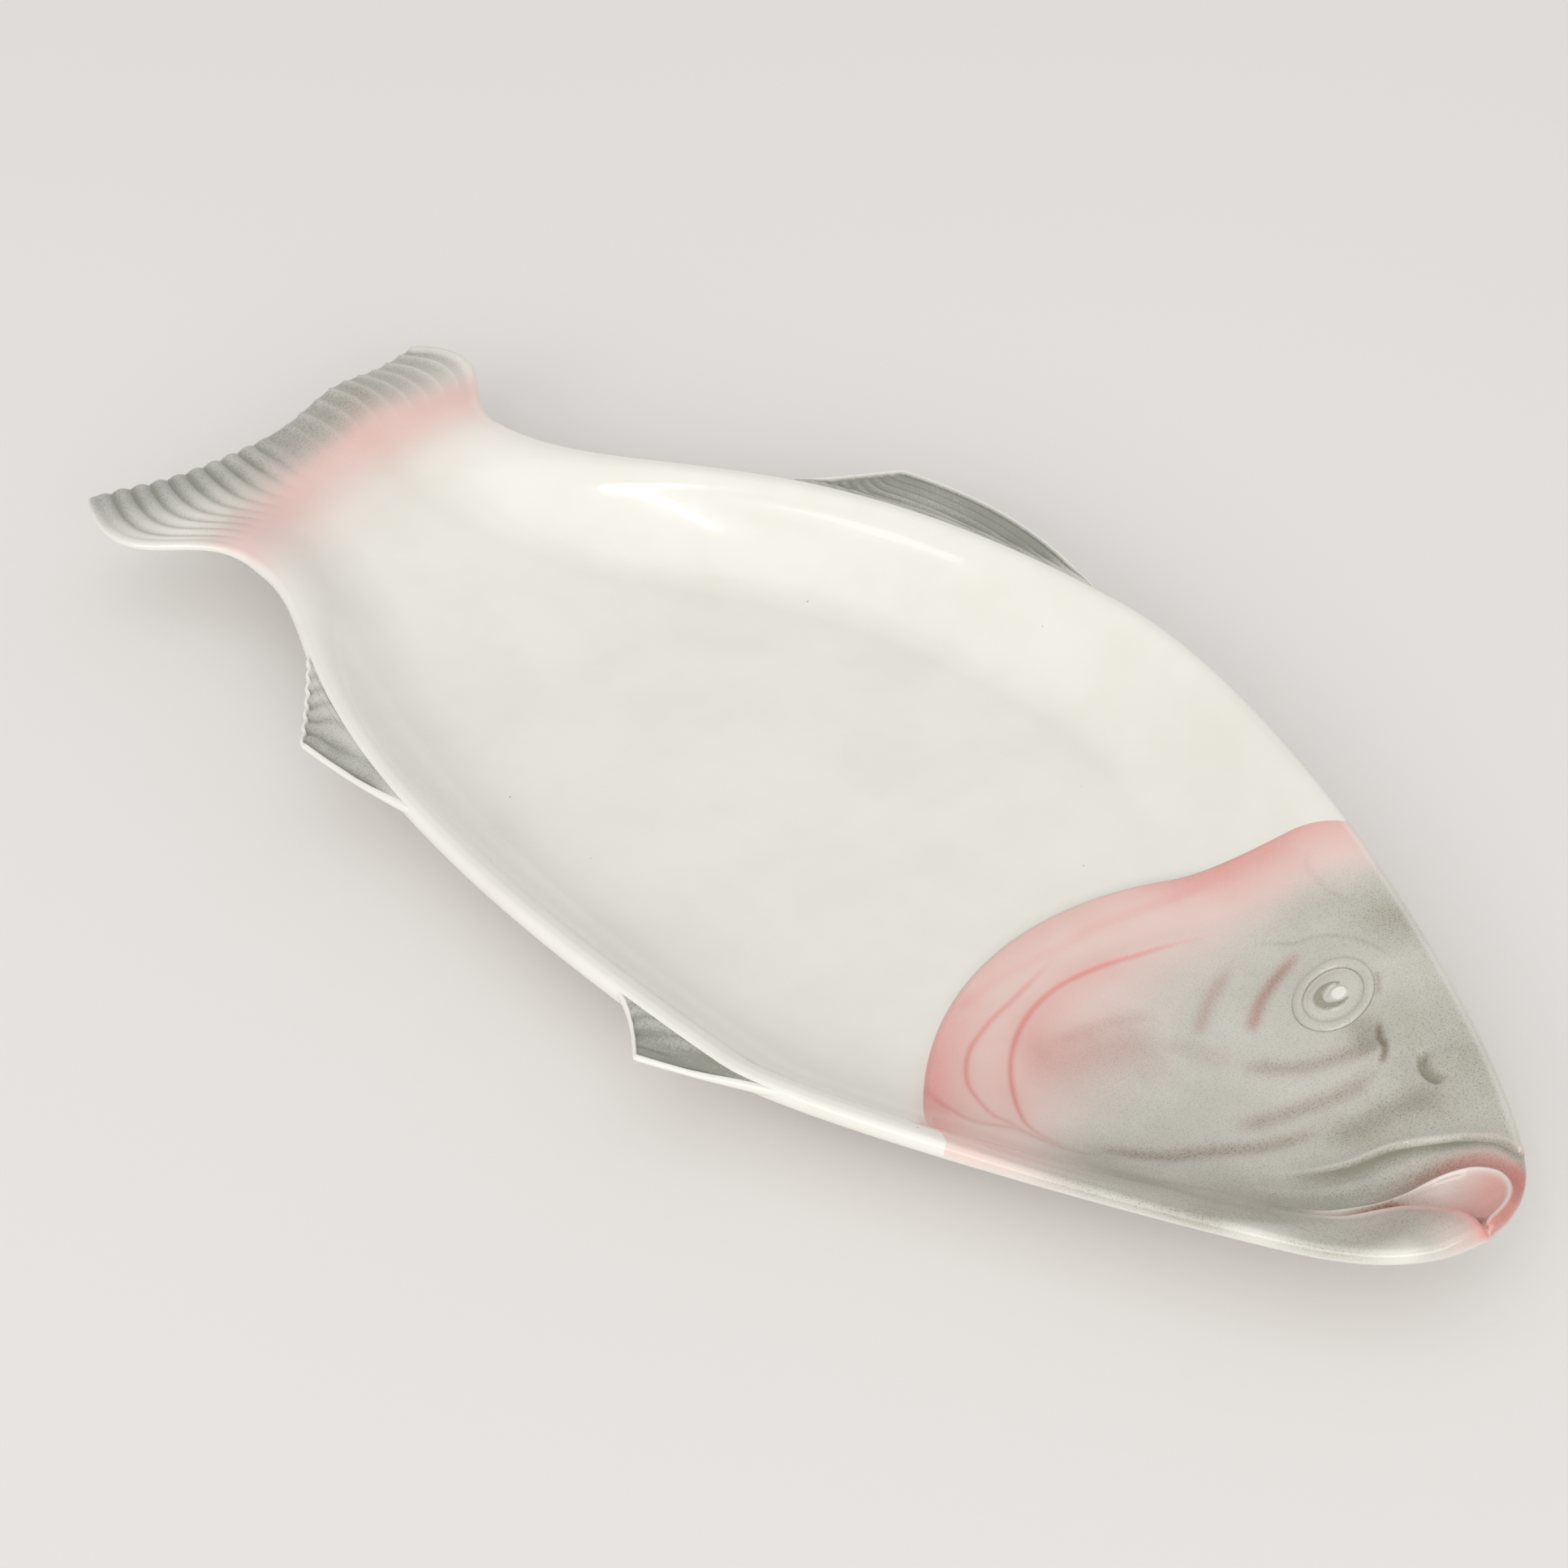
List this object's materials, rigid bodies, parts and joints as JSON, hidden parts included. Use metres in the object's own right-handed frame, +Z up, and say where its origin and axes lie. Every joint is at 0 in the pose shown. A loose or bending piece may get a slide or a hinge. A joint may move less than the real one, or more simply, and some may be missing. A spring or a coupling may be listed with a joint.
{
  "type": "fish platter",
  "caption": "Long dished serving platter in the shape of a fish, with a glazed well, a modelled head with lips and eye, a fluted tail, side fins and an oval foot ring to rest on.",
  "frame": {"origin": "on the table, under the middle of the platter's box", "axes": "+X towards the snout, +Y towards the fish's back, +Z up"},
  "size_m": [0.6022, 0.3016, 0.0466],
  "materials": {
    "white_glaze": "glossy off-white glaze",
    "head_glaze": "glossy glaze over sprayed grey and pink",
    "tail_glaze": "glossy glaze over sprayed grey and pink",
    "fin_glaze": "glossy glaze over sprayed grey",
    "lip_glaze": "glossy glaze over sprayed pink",
    "eye_glaze": "glossy pale glaze",
    "bare_clay": "unglazed, ground flat"
  },
  "bodies": {
    "root": {"well_body": "white_glaze", "head": "head_glaze", "tail_fin": "tail_glaze", "dorsal_fin": "fin_glaze", "anal_fin": "fin_glaze", "pelvic_fin": "fin_glaze", "upper_lip": "lip_glaze", "lower_lip": "lip_glaze", "eye_ring": "eye_glaze", "eye_pupil": "eye_glaze", "foot_ring": "bare_clay"}
  },
  "joints": []
}
